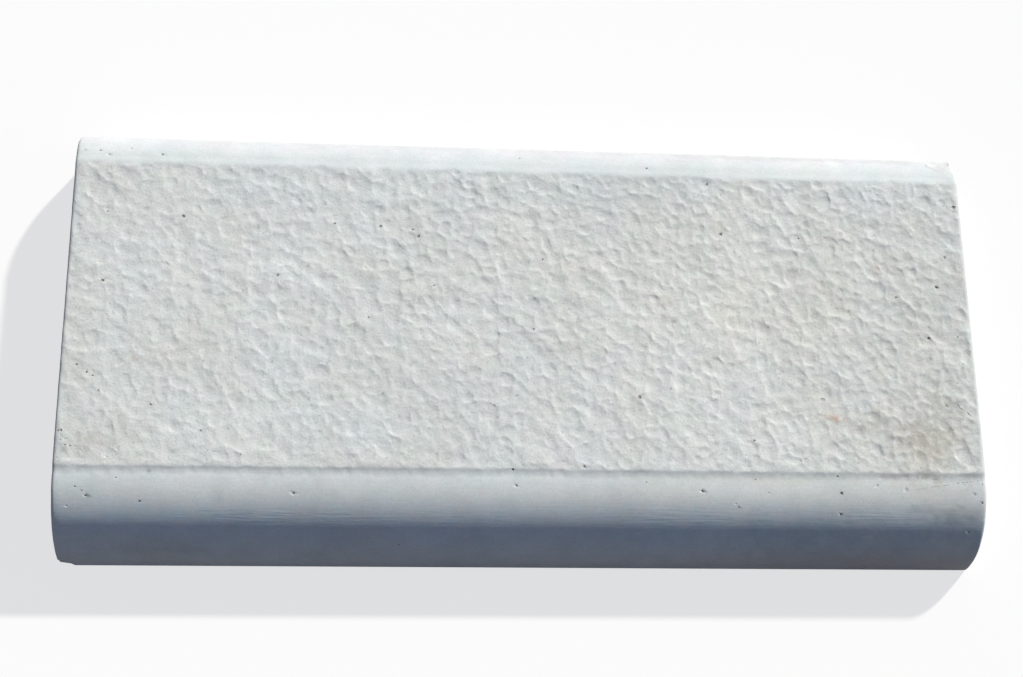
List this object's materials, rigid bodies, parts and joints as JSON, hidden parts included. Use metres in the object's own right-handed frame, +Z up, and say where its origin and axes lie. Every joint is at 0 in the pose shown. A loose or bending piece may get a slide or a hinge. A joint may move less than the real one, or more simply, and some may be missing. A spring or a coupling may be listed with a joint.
{
  "type": "concrete kerb stone",
  "caption": "Concrete kerb stone: a flat slab with a quarter-round nose along its front edge, a rounded back shoulder and a low rough-cast panel on top.",
  "frame": {"origin": "middle of the bed, the flat underside that lies on the mortar", "axes": "+X along the stone from end to end, +Y from the rounded nose to the back face, +Z up from the bed to the rough panel"},
  "size_m": [0.5, 0.238, 0.045],
  "materials": {
    "white_concrete": "matte"
  },
  "bodies": {
    "root": {"kerb_stone": "white_concrete"}
  },
  "joints": []
}
